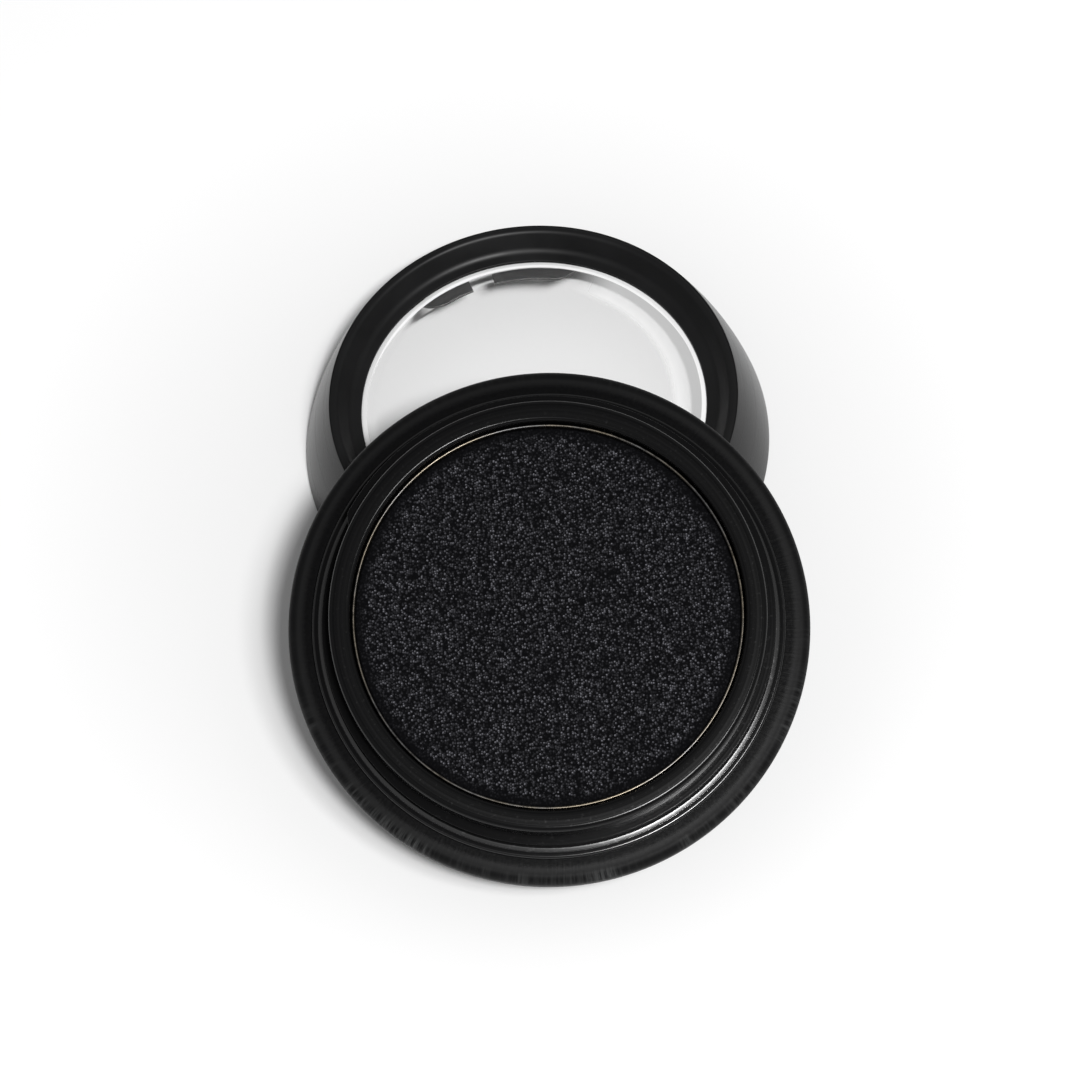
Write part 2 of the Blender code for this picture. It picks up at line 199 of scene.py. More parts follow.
LID_CENTRE = Vector((middle("lid_shell").x, middle("lid_shell").y, 0))
LID_PLACE = (Matrix.Identity(3), LID_CENTRE)
POT_AXIS = joint_axis("pot_lift")
POT_CENTRE = middle("base_label") + POT_AXIS * (FOOT_DEPTH - LABEL_THICKNESS / 2)
POT_TURN = Vector((0, 0, 1)).rotation_difference(POT_AXIS).to_matrix()
POT_PLACE = (POT_TURN, POT_CENTRE)


# ---------------------------------------------------------------- outlines and meshes

def eased(share):
    share = min(1, max(0, share))
    return share * share * (3 - 2 * share)


def rounded(corners, steps=FILLET_STEPS):
    """The outline through (radius, height, fillet) corners, with each fillet drawn as an arc."""
    outline = []
    for index, (radius, height, fillet) in enumerate(corners):
        corner = Vector((radius, height))
        if fillet == 0:
            outline.append(corner)
            continue
        back = (Vector(corners[index - 1][:2]) - corner).normalized()
        ahead = (Vector(corners[(index + 1) % len(corners)][:2]) - corner).normalized()
        half_angle = back.angle(ahead) / 2
        centre = corner + (back + ahead).normalized() * fillet / math.sin(half_angle)
        start = corner + back * fillet / math.tan(half_angle) - centre
        end = corner + ahead * fillet / math.tan(half_angle) - centre
        turn = start.angle_signed(end)
        for step in range(steps + 1):
            angle = -turn * step / steps
            spoke_r = start.x * math.cos(angle) - start.y * math.sin(angle)
            spoke_z = start.x * math.sin(angle) + start.y * math.cos(angle)
            outline.append(centre + Vector((spoke_r, spoke_z)))
    return outline


def bulging(top, bottom, bulge):
    """Corners between two ends of a side wall that swells outwards by bulge at its middle."""
    corners = []
    for step in range(1, BULGE_STEPS):
        share = step / BULGE_STEPS
        swell = 4 * share * (1 - share) * bulge
        radius = top[0] + (bottom[0] - top[0]) * share + swell
        height = top[1] + (bottom[1] - top[1]) * share
        corners.append((radius, height, 0))
    return corners


def wall(radius, start, end, steps):
    """Corners evenly along a straight wall, close enough together to carry a screw thread."""
    return [(radius, start + (end - start) * step / steps, 0) for step in range(1, steps)]


def make_mesh(name, verts, faces, place):
    """A smooth mesh whose points are turned into place, with its object's origin on the body's axis."""
    turn, centre = place
    mesh = bpy.data.meshes.new(name)
    mesh.from_pydata([turn @ Vector(vert) for vert in verts], [], faces)
    mesh.validate()
    mesh.shade_smooth()
    mesh.set_sharp_from_angle(angle=math.radians(CREASE_DEG))
    piece = bpy.data.objects.new(name, mesh)
    piece.location = centre
    bpy.context.scene.collection.objects.link(piece)
    return piece


def turned(name, outline, place, ring=False, relief=None, lift=None):
    """A turned piece. relief(angle, radius, height) moves a point outwards, lift(x, y, height) upwards."""
    verts, rows = [], []
    for point in outline:
        if point.x < ON_AXIS:
            rows.append([len(verts)] * SEGMENTS)
            verts.append((0, 0, point.y))
            continue
        row = []
        for step in range(SEGMENTS):
            angle = math.tau * step / SEGMENTS
            radius = point.x + (relief(angle, point.x, point.y) if relief else 0)
            x, y = radius * math.cos(angle), radius * math.sin(angle)
            row.append(len(verts))
            verts.append((x, y, point.y + (lift(x, y, point.y) if lift else 0)))
        rows.append(row)
    faces = []
    count = len(rows)
    for index in range(count if ring else count - 1):
        upper, lower = rows[index], rows[(index + 1) % count]
        for step in range(SEGMENTS):
            after = (step + 1) % SEGMENTS
            corners = list(dict.fromkeys([upper[step], lower[step], lower[after], upper[after]]))
            if len(corners) > 2:
                faces.append(corners)
    return make_mesh(name, verts, faces, place)


def swept(name, sections, place):
    """A bar swept round the axis through (angle, profile) sections, with flat ends."""
    verts, faces = [], []
    for angle, profile in sections:
        for radius, height in profile:
            verts.append((radius * math.cos(angle), radius * math.sin(angle), height))
    width = len(sections[0][1])
    end = len(verts) - width
    for here in range(0, end, width):
        there = here + width
        for side in range(width):
            ahead = (side + 1) % width
            faces.append((here + side, here + ahead, there + ahead, there + side))
    faces.append(tuple(range(width - 1, -1, -1)))
    faces.append(tuple(range(end, end + width)))
    return make_mesh(name, verts, faces, place)


def lid_thread(angle, radius, height):
    """How far the thread's ridge moves a point of the lid's bore inwards, as a negative distance."""
    if abs(radius - LID_BORE_RADIUS) > SAME_RADIUS:
        return 0
    start_deg, end_deg = LID_RIDGE_TAPERS_DEG
    best = 0
    back = (LID_RIDGE_END_DEG - math.degrees(angle)) % 360
    while back < LID_RIDGE_SWEEP_DEG:
        centre = LID_RIDGE_TOP - THREAD_PITCH * back / 360
        away = abs(height - centre) / LID_RIDGE_HALF_WIDTH
        if away < 1:
            taper = min(1, back / start_deg, (LID_RIDGE_SWEEP_DEG - back) / end_deg)
            best = max(best, taper * eased((1 - away) / LID_RIDGE_FLANK_SHARE))
        back += 360
    return -LID_RIDGE_HEIGHT * best


def retainer_mesh():
    """A flat open ring with rounded edges, from one bent end clockwise to the other."""
    first, last = RETAINER_SPLIT_DEG
    sweep = 360 - (last - first)
    sections = []
    for index in range(RETAINER_STEPS + 1):
        along = sweep * index / RETAINER_STEPS
        out = min(eased((along - ARM_REACH_DEG[0]) / ARM_BEND_DEG),
                  eased((sweep - along - ARM_REACH_DEG[1]) / ARM_BEND_DEG))
        inner = ARM_INNER_RADIUS + (RETAINER_OUTER_RADIUS - RETAINER_WIDTH - ARM_INNER_RADIUS) * out
        outer = inner + ARM_WIDTH + (RETAINER_WIDTH - ARM_WIDTH) * out
        sections.append((math.radians(first - along), (
            (inner, RETAINER_BOTTOM + CRISP), (inner + CRISP, RETAINER_BOTTOM),
            (outer - CRISP, RETAINER_BOTTOM), (outer, RETAINER_BOTTOM + CRISP),
            (outer, RETAINER_TOP - CRISP), (outer - CRISP, RETAINER_TOP),
            (inner + CRISP, RETAINER_TOP), (inner, RETAINER_TOP - CRISP),
        )))
    return swept("window_retainer_ring", sections, LID_PLACE)


def neck_ridge_mesh():
    """The neck's thread: a ridge with a flat upper shelf, a narrow crest and a sloping underside."""
    root = NECK_RIDGE_ROOT_RADIUS
    start_deg, end_deg = NECK_RIDGE_TAPERS_DEG
    sections = []
    for index in range(NECK_RIDGE_STEPS + 1):
        back = NECK_RIDGE_SWEEP_DEG * index / NECK_RIDGE_STEPS
        top = NECK_RIDGE_TOP - THREAD_PITCH * back / 360
        share = min(eased(back / start_deg + NECK_RIDGE_END_SHARE),
                    eased((NECK_RIDGE_SWEEP_DEG - back) / end_deg + NECK_RIDGE_END_SHARE))
        reach = NECK_RADIUS + NECK_RIDGE_HEIGHT * share
        sections.append((math.radians(NECK_RIDGE_START_DEG - back), rounded([
            (root, top, 0),
            (reach, top, CRISP),
            (reach, top - NECK_RIDGE_FACE, CRISP),
            (root, top - NECK_RIDGE_FACE - (reach - root), 0),
        ])))
    return swept("neck_thread_ridge", sections, POT_PLACE)


def lid_outline():
    crest = (LID_CREST_RADIUS, LID_CREST_HEIGHT)
    rim_edge = (LID_RIM_RADIUS, 0)
    return rounded([
        (*crest, LID_CREST_ROUND),
        *bulging(crest, rim_edge, LID_SIDE_BULGE),
        (*rim_edge, LID_RIM_ROUND),
        (LID_MOUTH_RADIUS, 0, SOFT),
        (LID_MOUTH_RADIUS, LID_MOUTH_DEPTH, KEEN),
        (LID_BORE_RADIUS, LID_MOUTH_DEPTH, SOFT),
        *wall(LID_BORE_RADIUS, LID_MOUTH_DEPTH + SOFT, LID_BORE_DEPTH, LID_BORE_STEPS),
        (LID_BORE_RADIUS, LID_BORE_DEPTH, 0),
        (NECK_RELIEF_RADIUS, NECK_RELIEF_HEIGHT, CRISP),
        (NECK_RELIEF_RADIUS, RETAINER_BOTTOM, CRISP),
        (POCKET_RADIUS, RETAINER_BOTTOM, CRISP),
        (POCKET_RADIUS, LIP_BOTTOM, 0),
        (LIP_RADIUS, LIP_BOTTOM, KEEN),
        (LIP_RADIUS, LIP_HEIGHT, CRISP),
        (BEZEL_FOOT_RADIUS, BEZEL_FOOT_HEIGHT, BEZEL_FOOT_ROUND),
    ])


def window_outline():
    slope = []
    for step in range(WINDOW_SLOPE_STEPS + 1):
        share = step / WINDOW_SLOPE_STEPS
        radius = WINDOW_RECESS_RADIUS + WINDOW_SLOPE_WIDTH * (0.5 - share)
        rise = (WINDOW_BOTTOM - WINDOW_FLANGE_BOTTOM) * eased(share)
        slope.append((radius, WINDOW_FLANGE_BOTTOM + rise, 0))
    return rounded([
        (0, LIP_HEIGHT, 0),
        (WINDOW_BOSS_RADIUS - WINDOW_CHAMFER_WIDTH, LIP_HEIGHT, SOFT),
        (WINDOW_BOSS_RADIUS, LIP_HEIGHT - WINDOW_CHAMFER_DEPTH, CRISP),
        (WINDOW_BOSS_RADIUS, WINDOW_FLANGE_TOP, 0),
        (WINDOW_FLANGE_RADIUS, WINDOW_FLANGE_TOP, SOFT),
        (WINDOW_FLANGE_RADIUS, WINDOW_FLANGE_BOTTOM, SOFT),
        *slope,
        (0, WINDOW_BOTTOM, 0),
    ])


def base_outline():
    widest = (FLANGE_RADIUS, 0)
    foot = (FOOT_RADIUS, -FOOT_DEPTH)
    return rounded([
        (0, BASE_FLOOR_TOP, 0),
        (INSERT_LEDGE_RADIUS, BASE_FLOOR_TOP, FLOOR_ROUND),
        (INSERT_LEDGE_RADIUS, BASE_LEDGE_HEIGHT, 0),
        (BASE_BORE_RADIUS, BASE_LEDGE_HEIGHT, 0),
        (BASE_BORE_RADIUS, FLANGE_TOP, BASE_BORE_ROUND),
        (FLANGE_RADIUS, FLANGE_TOP, FLANGE_EDGE_ROUND),
        (*widest, 0),
        *bulging(widest, foot, POT_SIDE_BULGE),
        (*foot, FOOT_EDGE_ROUND),
        (RECESS_RADIUS, -FOOT_DEPTH, NEAT),
        (RECESS_RADIUS, RECESS_ROOF, 0),
        (0, RECESS_ROOF, 0),
    ])


def neck_outline():
    bevel_drop = SHOULDER_BEVEL_SLOPE * SHOULDER_BEVEL_WIDTH
    return rounded([
        (0, INSERT_FLOOR_TOP, 0),
        (WELL_RADIUS, INSERT_FLOOR_TOP, FLOOR_ROUND),
        (WELL_RADIUS, NECK_TOP, NECK_INNER_ROUND),
        (NECK_RADIUS, NECK_TOP, NECK_OUTER_ROUND),
        (NECK_RADIUS, SHOULDER_STEP_TOP, FINE),
        (SHOULDER_STEP_RADIUS - SHOULDER_BEVEL_WIDTH, SHOULDER_STEP_TOP, CRISP),
        (SHOULDER_STEP_RADIUS, SHOULDER_STEP_TOP - bevel_drop, HAIRLINE),
        (SHOULDER_STEP_RADIUS + HAIRLINE, SHOULDER_TOP, HAIRLINE),
        (SHOULDER_RADIUS, SHOULDER_TOP, SHOULDER_ROUND),
        (SHOULDER_RADIUS, SHOULDER_BOTTOM, HAIRLINE),
        (NECK_RADIUS, SHOULDER_BOTTOM, 0),
        (NECK_RADIUS, INSERT_FLOOR_BOTTOM, INSERT_FOOT_ROUND),
        (0, INSERT_FLOOR_BOTTOM, 0),
    ])


def pan_outline():
    rim_foot = PAN_RIM_TOP - PAN_RIM_HEIGHT
    return rounded([
        (0, PAN_BOTTOM + PAN_WALL, 0),
        (PAN_INNER_RADIUS, PAN_BOTTOM + PAN_WALL, FLOOR_ROUND),
        (PAN_INNER_RADIUS, PAN_RIM_TOP, FINE),
        (PAN_RIM_RADIUS, PAN_RIM_TOP, FINE),
        (PAN_RIM_RADIUS, rim_foot, NEAT),
        (PAN_OUTER_RADIUS, rim_foot - PAN_RIM_UNDERCUT, 0),
        (PAN_OUTER_RADIUS, PAN_BOTTOM, PAN_FOOT_ROUND),
        (0, PAN_BOTTOM, 0),
    ])


def powder_outline():
    """The pressed surface, with a low rolled-off edge against the pan."""
    outer = PAN_INNER_RADIUS - POWDER_GAP
    bottom = PAN_BOTTOM + PAN_WALL + POWDER_GAP
    rings = [(outer * step / POWDER_RINGS, POWDER_TOP, 0) for step in range(POWDER_RINGS - 2)]
    return rounded([
        *rings,
        (outer, POWDER_TOP - POWDER_EDGE_DROP, POWDER_EDGE_ROUND),
        (outer, bottom, POWDER_FOOT_ROUND),
        (0, bottom, 0),
    ])


def powder_unevenness(x, y, height):
    if height < POWDER_TOP - POWDER_GAP:
        return 0
    return POWDER_WAVE_HEIGHT * noise.noise(Vector((x, y, 0)) * POWDER_WAVES_PER_METRE)


def disc_outline(radius, top, bottom, edge):
    corners = [(0, top, 0), (radius, top, edge), (radius, bottom, edge), (0, bottom, 0)]
    return rounded(corners, steps=DISC_FILLET_STEPS)


# ---------------------------------------------------------------- materials
# Noise scales are in cells per metre. Colours are a darker and a lighter tone of the same finish.

LID_TONES = ((0.0050, 0.0050, 0.0052), (0.0070, 0.0070, 0.0074))
LID_SIDE_STARTS = (14.1 * MM, 14.7 * MM)
# Base: black, and a lighter tone for scuffs and painted sheen on the flange's round edge, painted brighter
# towards the front
BASE_BLACK_AND_SHEEN_TONES = ((0.0028, 0.0028, 0.0030), (0.060, 0.061, 0.061))
FLANGE_FACE_ENDS = (16.2 * MM, 16.9 * MM)
SCUFF_AND_SHEEN_STARTS = (16.6 * MM, 17.3 * MM)
SCUFF_AND_SHEEN_HEIGHTS = (-0.9 * MM, 0.0)
PAINTED_SHEEN_FRONT = (-15 * MM, 2 * MM)
NECK_TONE = (0.0038, 0.0038, 0.0040)
NECK_MOUTH_ENDS = (13.30 * MM, 13.45 * MM)
NECK_EDGE_STARTS = (14.05 * MM, 14.15 * MM)
STEP_BEVEL_STARTS = (15.14 * MM, 15.18 * MM)
STEP_BEVEL_ENDS = (15.40 * MM, 15.44 * MM)
SHOULDER_EDGE_STARTS = (15.64 * MM, 15.68 * MM)
PAN_TONES = ((0.085, 0.084, 0.083), (0.13, 0.112, 0.085))
POWDER_TONES = ((0.0013, 0.0013, 0.0018), (0.067, 0.067, 0.075))
POWDER_FLAKES_PER_METRE = 6600
POWDER_RIM_PAINTED_SHADE_STARTS = (11.9 * MM, 12.45 * MM)
# Painted light on the window: a white edge ring for a highlight, and white haze on the right over the
# ring's shadow
PAINTED_LIGHT_WHITE = (0.92, 0.92, 0.92)
PAINTED_EDGE_HIGHLIGHT_STARTS = (11.87 * MM, 11.93 * MM)
PAINTED_EDGE_HIGHLIGHT_BACK_EXTRA = 0.22 * MM
PAINTED_FILL_LIGHT_STARTS = (9.6 * MM, 10.3 * MM)
CLEAR_PLASTIC_IOR = 1.49
UNSEEN_WINDOW = (0.99, 0.99, 0.99)
RETAINER_TONES = ((0.010, 0.010, 0.010), (0.016, 0.016, 0.016))
ADHESIVE_TONES = ((0.42, 0.41, 0.37), (0.55, 0.53, 0.48))
LABEL_TONES = ((0.018, 0.018, 0.019), (0.026, 0.026, 0.027))
FLOOR_TONES = ((0.85, 0.85, 0.85), (0.98, 0.98, 0.98))
FLOOR_PAINTED_SHADE_FADE = (22 * MM, 52 * MM)


class Nodes:
    """A material's node tree, with coordinates along its body's own axis and short calls to add nodes."""

    def __init__(self, name, turn=None):
        self.material = bpy.data.materials.new(name)
        self.material.use_nodes = True
        self.tree = self.material.node_tree
        self.shader = self.tree.nodes["Principled BSDF"]
        self.output = self.tree.nodes["Material Output"]
        self.point = self.add("ShaderNodeTexCoord").outputs["Object"]
        if turn:
            mapping = self.add("ShaderNodeMapping")
            mapping.inputs["Rotation"].default_value = turn.inverted().to_euler()
            self.link(self.point, mapping.inputs["Vector"])
            self.point = mapping.outputs["Vector"]
        parts = self.add("ShaderNodeSeparateXYZ")
        self.link(self.point, parts.inputs[0])
        self.x, self.y, self.z = parts.outputs
        squares = self.math("ADD", self.times(self.x, self.x), self.times(self.y, self.y))
        self.radius = self.math("SQRT", squares)

    def add(self, kind, **settings):
        node = self.tree.nodes.new(kind)
        for key, value in settings.items():
            setattr(node, key, value)
        return node

    def link(self, source, target):
        self.tree.links.new(source, target)

    def feed(self, socket, value):
        """Joins a node's output to the socket, or sets a plain number or colour on it."""
        if isinstance(value, bpy.types.NodeSocket):
            self.link(value, socket)
        else:
            socket.default_value = (*value, 1) if isinstance(value, tuple) else value

    def math(self, operation, first, second=0.0):
        node = self.add("ShaderNodeMath", operation=operation)
        self.feed(node.inputs[0], first)
        self.feed(node.inputs[1], second)
        return node.outputs[0]

    def times(self, first, *others):
        for other in others:
            first = self.math("MULTIPLY", first, other)
        return first

    def vector(self, x, y, z):
        node = self.add("ShaderNodeCombineXYZ")
        for socket, value in zip(node.inputs, (x, y, z)):
            self.feed(socket, value)
        return node.outputs[0]

    def around(self, across, along):
        """Coordinates that run slowly along a meridian and fast round the axis, for streaks."""
        return self.vector(self.times(self.math("DIVIDE", self.x, self.radius), across),
                           self.times(self.math("DIVIDE", self.y, self.radius), across),
                           self.times(self.z, along))

    def noise(self, vector, scale=1.0, detail=4.0, roughness=0.55):
        node = self.add("ShaderNodeTexNoise")
        self.link(vector, node.inputs["Vector"])
        node.inputs["Scale"].default_value = scale
        node.inputs["Detail"].default_value = detail
        node.inputs["Roughness"].default_value = roughness
        return node.outputs["Fac"]

    def spread(self, value, low, high, to_low=0.0, to_high=1.0, kind="LINEAR"):
        """The value, mapped from one range to another."""
        node = self.add("ShaderNodeMapRange", interpolation_type=kind)
        for socket, number in zip(node.inputs, (value, low, high, to_low, to_high)):
            self.feed(socket, number)
        return node.outputs[0]

    def fade(self, value, limits, to_low=0.0, to_high=1.0):
        """Like spread, with a smooth start and end."""
        return self.spread(value, *limits, to_low, to_high, kind="SMOOTHSTEP")

    def between(self, share, first, second):
        """A number between two."""
        node = self.add("ShaderNodeMix", data_type="FLOAT")
        for socket, value in zip((node.inputs[0], node.inputs[2], node.inputs[3]), (share, first, second)):
            self.feed(socket, value)
        return node.outputs[0]

    def blend(self, share, tones):
        """A colour between two."""
        node = self.add("ShaderNodeMix", data_type="RGBA")
        for socket, value in zip((node.inputs[0], node.inputs[6], node.inputs[7]), (share, *tones)):
            self.feed(socket, value)
        return node.outputs[2]

    def bump(self, height, distance, strength, normal=None):
        node = self.add("ShaderNodeBump")
        node.inputs["Strength"].default_value = strength
        node.inputs["Distance"].default_value = distance
        self.link(height, node.inputs["Height"])
        if normal is not None:
            self.link(normal, node.inputs["Normal"])
        return node.outputs["Normal"]

    def overlay(self, share, under, over):
        """One shader over another."""
        node = self.add("ShaderNodeMixShader")
        for socket, value in zip(node.inputs, (share, under, over)):
            self.link(value, socket)
        return node.outputs[0]

    def finish(self, **values):
        """Sets the shader's sockets, named with underscores for spaces, and gives the material."""
        for name, value in values.items():
            self.feed(self.shader.inputs[name.replace("_", " ")], value)
        return self.material


def lid_material():
    """Satin black on top and glossier down its side, with faint level lines from the moulding."""
    nodes = Nodes("lid_black_plastic")
    grain = nodes.noise(nodes.point, 5200, detail=3)
    cloud = nodes.noise(nodes.point, 260, detail=5)
    flow = nodes.noise(nodes.vector(0.0, 0.0, nodes.times(nodes.z, 2600)), detail=2)
    face_rough = nodes.spread(cloud, 0.3, 0.7, 0.36, 0.46)
    side_rough = nodes.spread(flow, 0.3, 0.7, 0.22, 0.30)
    return nodes.finish(
        Base_Color=nodes.blend(nodes.spread(cloud, 0.35, 0.7), LID_TONES),
        Roughness=nodes.between(nodes.fade(nodes.radius, LID_SIDE_STARTS), face_rough, side_rough),
        Specular_IOR_Level=0.22,
        Normal=nodes.bump(grain, 0.004 * MM, 0.5),
    )


def base_material():
    """Matte black, with short streaks down its round edge that are scuffs and painted sheen, painted
    lighter towards the front.
    """
    nodes = Nodes("base_black_matte", POT_TURN)
    grain = nodes.noise(nodes.point, 4200)
    streaks = nodes.noise(nodes.around(90.0, 520), detail=9, roughness=0.72)
    patches = nodes.noise(nodes.around(4.0, 90))
    # Scuffs and painted sheen on the round edge; the front side is painted lighter, a painted highlight
    scuffs_and_painted_sheen = nodes.times(
        nodes.spread(streaks, 0.44, 0.68),
        nodes.spread(patches, 0.42, 0.62, 0.05, 1.0),
        nodes.times(nodes.fade(nodes.radius, SCUFF_AND_SHEEN_STARTS), nodes.fade(nodes.z, SCUFF_AND_SHEEN_HEIGHTS)),
        nodes.fade(nodes.y, PAINTED_SHEEN_FRONT, 1.0, 0.12),
    )
    gloss = nodes.fade(nodes.radius, FLANGE_FACE_ENDS, 0.20, 0.50)
    return nodes.finish(
        Base_Color=nodes.blend(scuffs_and_painted_sheen, BASE_BLACK_AND_SHEEN_TONES),
        Roughness=nodes.math("ADD", gloss, nodes.spread(grain, 0.3, 0.7, 0.0, 0.06)),
        Specular_IOR_Level=0.11,
        Normal=nodes.bump(grain, 0.005 * MM, 0.5, nodes.bump(streaks, 0.02 * MM, 0.35)),
    )


def neck_material():
    """Glossy black with faint turned rings. The neck's outer edge is dull and the steps below it shine."""
    nodes = Nodes("neck_black_gloss", POT_TURN)
    turned_point = nodes.vector(nodes.times(nodes.radius, 9000), 0.0, nodes.times(nodes.z, 3000))
    rings = nodes.noise(turned_point, detail=3)
    sweep = nodes.noise(nodes.around(1.6, 400), detail=2)
    dust = nodes.noise(nodes.point, 3800, detail=2)
    mouth = nodes.fade(nodes.radius, NECK_MOUTH_ENDS, 0.10, 0.30)
    edge = nodes.fade(nodes.radius, NECK_EDGE_STARTS, 1.0, 0.03)
    bevel = nodes.times(nodes.fade(nodes.radius, STEP_BEVEL_STARTS, 0.14, 1.0),
                        nodes.fade(nodes.radius, STEP_BEVEL_ENDS, 1.0, 0.12))
    shoulder = nodes.fade(nodes.radius, SHOULDER_EDGE_STARTS, 0.0, 0.50)
    steps = nodes.math("MAXIMUM", bevel, shoulder)
    return nodes.finish(
        Base_Color=NECK_TONE,
        Roughness=nodes.math("ADD", nodes.spread(rings, 0.35, 0.65, 0.15, 0.21),
                             nodes.spread(dust, 0.6, 0.75, 0.0, 0.08)),
        Specular_IOR_Level=nodes.math("MAXIMUM", nodes.times(mouth, edge), steps),
        Normal=nodes.bump(nodes.times(rings, sweep), 0.002 * MM, 0.3),
    )


def pan_material():
    """Thin metal, drawn along its wall and dulled in places."""
    nodes = Nodes("pan_drawn_metal", POT_TURN)
    drawn = nodes.noise(nodes.around(26.0, 3000), detail=6, roughness=0.7)
    worn = nodes.noise(nodes.around(3.0, 200), detail=3)
    return nodes.finish(
        Metallic=1.0,
        Base_Color=nodes.blend(nodes.spread(worn, 0.4, 0.62), PAN_TONES),
        Roughness=nodes.spread(drawn, 0.35, 0.68, 0.22, 0.42),
        Normal=nodes.bump(drawn, 0.01 * MM, 0.5),
    )


def powder_material():
    """Pressed black pigment full of fine flakes, each with its own brightness."""
    nodes = Nodes("powder_black_shimmer", POT_TURN)
    warp = nodes.noise(nodes.point, 2600, detail=2)
    flakes = nodes.add("ShaderNodeTexVoronoi", feature="F1")
    flakes.inputs["Scale"].default_value = POWDER_FLAKES_PER_METRE
    flakes.inputs["Randomness"].default_value = 1.0
    nodes.link(nodes.point, flakes.inputs["Vector"])
    pick = nodes.add("ShaderNodeSeparateColor")
    nodes.link(flakes.outputs["Color"], pick.inputs[0])
    sparkle = nodes.times(
        nodes.math("POWER", pick.outputs[0], 1.5),
        nodes.fade(flakes.outputs["Distance"], (0.25, 0.70), 1.0, 0.0),
        nodes.spread(warp, 0.35, 0.65, 0.6, 1.25),
        # Painted shade: the flakes dim towards the pan's rim
        nodes.fade(nodes.radius, POWDER_RIM_PAINTED_SHADE_STARTS, 1.0, 0.12),
    )
    return nodes.finish(
        Base_Color=nodes.blend(sparkle, POWDER_TONES),
        Metallic=nodes.spread(sparkle, 0.0, 0.4, 0.0, 0.6),
        Roughness=nodes.spread(sparkle, 0.0, 0.7, 0.85, 0.45),
        Specular_IOR_Level=0.06,
        Normal=nodes.bump(flakes.outputs["Distance"], 0.05 * MM, 0.7),
    )


def window_material():
    """Clear polished plastic, with painted light: a white ring on its edge chamfer is a painted highlight,
    wider at the back, and a white haze on its right is painted light over the ring's shadow.

    Lamps and soft light pass straight through, so what lies under it stays lit.
    """
    nodes = Nodes("window_clear_plastic")
    ripple = nodes.noise(nodes.point, 220, detail=2)
    haze = nodes.noise(nodes.point, 900, detail=5)
    nodes.finish(
        Base_Color=(1.0, 1.0, 1.0),
        Transmission_Weight=1.0,
        IOR=CLEAR_PLASTIC_IOR,
        Roughness=nodes.spread(haze, 0.5, 0.75, 0.0, 0.05),
        Normal=nodes.bump(ripple, 0.006 * MM, 0.4),
    )
    painted_light_shader = nodes.add("ShaderNodeBsdfDiffuse")
    nodes.feed(painted_light_shader.inputs["Color"], PAINTED_LIGHT_WHITE)
    # Painted highlight: a white ring along the window's edge chamfer, widened towards the back
    far = nodes.math("DIVIDE", nodes.y, nodes.radius)
    painted_highlight_widening = nodes.fade(far, (0.20, 0.75), 0.0, PAINTED_EDGE_HIGHLIGHT_BACK_EXTRA)
    edge = nodes.spread(nodes.math("ADD", nodes.radius, painted_highlight_widening), *PAINTED_EDGE_HIGHLIGHT_STARTS, 0.0, 0.9)
    # Painted light: white haze over the right side of the slope, lifting the ring's shadow seen through
    # the window
    right = nodes.fade(nodes.math("DIVIDE", nodes.x, nodes.radius), (0.30, 0.60), 0.0, 0.5)
    painted_fill_light = nodes.times(nodes.fade(nodes.radius, PAINTED_FILL_LIGHT_STARTS), right)
    above = nodes.math("GREATER_THAN", nodes.z, LIP_BOTTOM)
    painted_light_share = nodes.times(nodes.math("MAXIMUM", edge, painted_fill_light), above)
    seen = nodes.overlay(painted_light_share, nodes.shader.outputs[0], painted_light_shader.outputs[0])
    path = nodes.add("ShaderNodeLightPath")
    passes = nodes.math("MAXIMUM", path.outputs["Is Shadow Ray"], path.outputs["Is Diffuse Ray"])
    through = nodes.add("ShaderNodeBsdfTransparent")
    nodes.feed(through.inputs["Color"], UNSEEN_WINDOW)
    nodes.link(nodes.overlay(passes, seen, through.outputs[0]), nodes.output.inputs["Surface"])
    return nodes.material


def plain_material(name, tones, scale, roughness, bump, specular=0.5, turn=None):
    """A moulded or paper surface whose shade, gloss and fine grain vary a little."""
    nodes = Nodes(name, turn)
    tone = nodes.noise(nodes.point, scale, detail=5)
    grain = nodes.noise(nodes.point, scale * 9, detail=3)
    return nodes.finish(
        Base_Color=nodes.blend(nodes.spread(tone, 0.35, 0.65), tones),
        Roughness=nodes.spread(grain, 0.3, 0.7, *roughness),
        Specular_IOR_Level=specular,
        Normal=nodes.bump(grain, bump, 0.6),
    )


def floor_material():
    """White, with painted shade: a little darker around the object, as a table is under a small softbox.
    """
    nodes = Nodes("floor_white")
    return nodes.finish(
        Base_Color=nodes.blend(nodes.fade(nodes.radius, FLOOR_PAINTED_SHADE_FADE), FLOOR_TONES),
        Roughness=0.8,
        Specular_IOR_Level=0.1,
    )


# ---------------------------------------------------------------- pieces

def finish_piece(piece, material, body, node):
    piece.data.materials.append(material)
    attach(piece, body)
    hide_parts(node)


def make_lid():
    shell = turned("lid_shell_skin", lid_outline(), LID_PLACE, ring=True, relief=lid_thread)
    finish_piece(shell, lid_material(), "lid", "lid_shell")
    window = turned("lid_window_clear", window_outline(), LID_PLACE)
    finish_piece(window, window_material(), "lid", "lid_window")
    black = plain_material("retainer_black_plastic", RETAINER_TONES, 400, (0.38, 0.52), 0.004 * MM)
    finish_piece(retainer_mesh(), black, "lid", "window_retainer")


